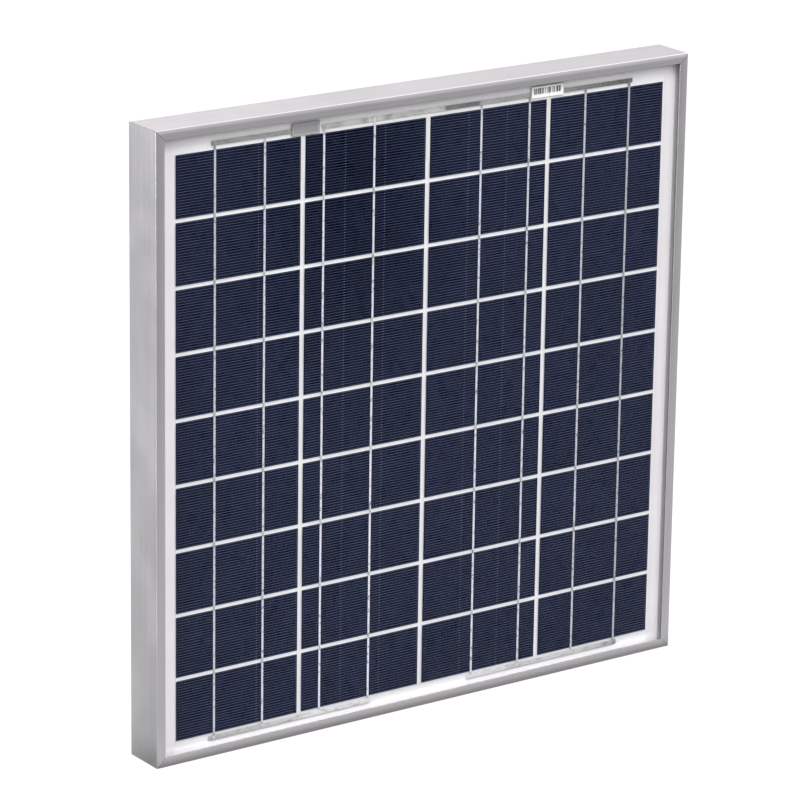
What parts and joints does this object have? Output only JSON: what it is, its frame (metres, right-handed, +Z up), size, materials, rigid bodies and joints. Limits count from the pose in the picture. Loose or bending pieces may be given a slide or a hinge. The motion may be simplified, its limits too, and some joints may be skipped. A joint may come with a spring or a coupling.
{
  "type": "framed solar panel",
  "caption": "Small framed polycrystalline solar panel with a mitred aluminium frame, laminated cell strings and a rear junction box with a hinged lid and cable glands.",
  "frame": {"origin": "centre of the bounding box at the bottom of the frame", "axes": "+Z up along the cell strings, +X across the panel, the glass faces -Y and the mounting flange faces +Y"},
  "size_m": [0.459, 0.035, 0.461],
  "materials": {
    "anodised_aluminium": "satin clear-anodised extrusion",
    "key_aluminium": "as-cast corner key",
    "solar_glass": "low-iron tempered glass, lightly textured",
    "encapsulant": "clear laminated film",
    "white_backsheet": "white laminated polymer sheet, semi-gloss",
    "silicon_cell": "polycrystalline silicon with a dark blue coating",
    "tinned_ribbon": "tin-coated copper ribbon, slightly crinkled",
    "silicone_sealant": "cured silicone",
    "white_strip": "white insulating film",
    "grey_label": "blank printed label",
    "white_label": null,
    "silver_label": "blank silver polyester label",
    "black_plastic": "fine moulded texture",
    "grey_rubber": "silicone gasket",
    "black_rubber": "sealing insert",
    "gland_nylon": "moulded nylon",
    "stainless_steel": "turned stainless steel",
    "tinned_brass": "tinned brass strip",
    "diode_epoxy": "moulded epoxy body"
  },
  "bodies": {
    "panel": {"backsheet": "white_backsheet", "bus_ribbon_bottom_left": "tinned_ribbon", "bus_ribbon_bottom_right": "tinned_ribbon", "bus_ribbon_top_centre": "tinned_ribbon", "bus_ribbon_top_left": "tinned_ribbon", "bus_ribbon_top_right": "tinned_ribbon", "bypass_diode_left": "diode_epoxy", "bypass_diode_right": "diode_epoxy", "cell_string_1": "silicon_cell", "cell_string_2": "silicon_cell", "cell_string_3": "silicon_cell", "cell_string_4": "silicon_cell", "corner_key_bottom_left": "key_aluminium", "corner_key_bottom_right": "key_aluminium", "corner_key_top_left": "key_aluminium", "corner_key_top_right": "key_aluminium", "edge_seal": "silicone_sealant", "frame_bottom": "anodised_aluminium", "frame_left": "anodised_aluminium", "frame_right": "anodised_aluminium", "frame_top": "anodised_aluminium", "front_encapsulant": "encapsulant", "front_glass": "solar_glass", "front_nameplate": "grey_label", "front_serial_label": "white_label", "gland_body_left": "gland_nylon", "gland_body_right": "gland_nylon", "gland_locknuts": "gland_nylon", "gland_seal_left": "black_rubber", "gland_seal_right": "black_rubber", "junction_box_adhesive": "silicone_sealant", "junction_box_base": "black_plastic", "junction_box_hinge_pin": "stainless_steel", "lead_insulator": "white_strip", "output_lead_centre": "tinned_ribbon", "output_lead_left": "tinned_ribbon", "output_lead_right": "tinned_ribbon", "rear_encapsulant": "encapsulant", "rear_rating_label": "silver_label", "tab_ribbons_1": "tinned_ribbon", "tab_ribbons_2": "tinned_ribbon", "tab_ribbons_3": "tinned_ribbon", "tab_ribbons_4": "tinned_ribbon", "terminal_centre": "tinned_brass", "terminal_left": "tinned_brass", "terminal_right": "tinned_brass", "terminal_screws": "stainless_steel"},
    "lid": {"junction_box_lid": "black_plastic", "junction_box_gasket": "grey_rubber"},
    "left_nut": {"gland_nut_left": "gland_nylon"},
    "right_nut": {"gland_nut_right": "gland_nylon"}
  },
  "joints": [
    {"name": "junction_box_lid_hinge", "type": "hinge", "parent": "panel", "child": "lid", "pos_m": [0, 0.0075, 0.4266], "axis": [1, 0, 0], "range_deg": [0, 100]},
    {"name": "left_gland_nut_turn", "type": "hinge", "parent": "panel", "child": "left_nut", "pos_m": [-0.027, -0.0014, 0.356], "axis": [0, 0, 1], "range_deg": [-1080, 0]},
    {"name": "right_gland_nut_turn", "type": "hinge", "parent": "panel", "child": "right_nut", "pos_m": [0.027, -0.0014, 0.356], "axis": [0, 0, 1], "range_deg": [-1080, 0]}
  ]
}
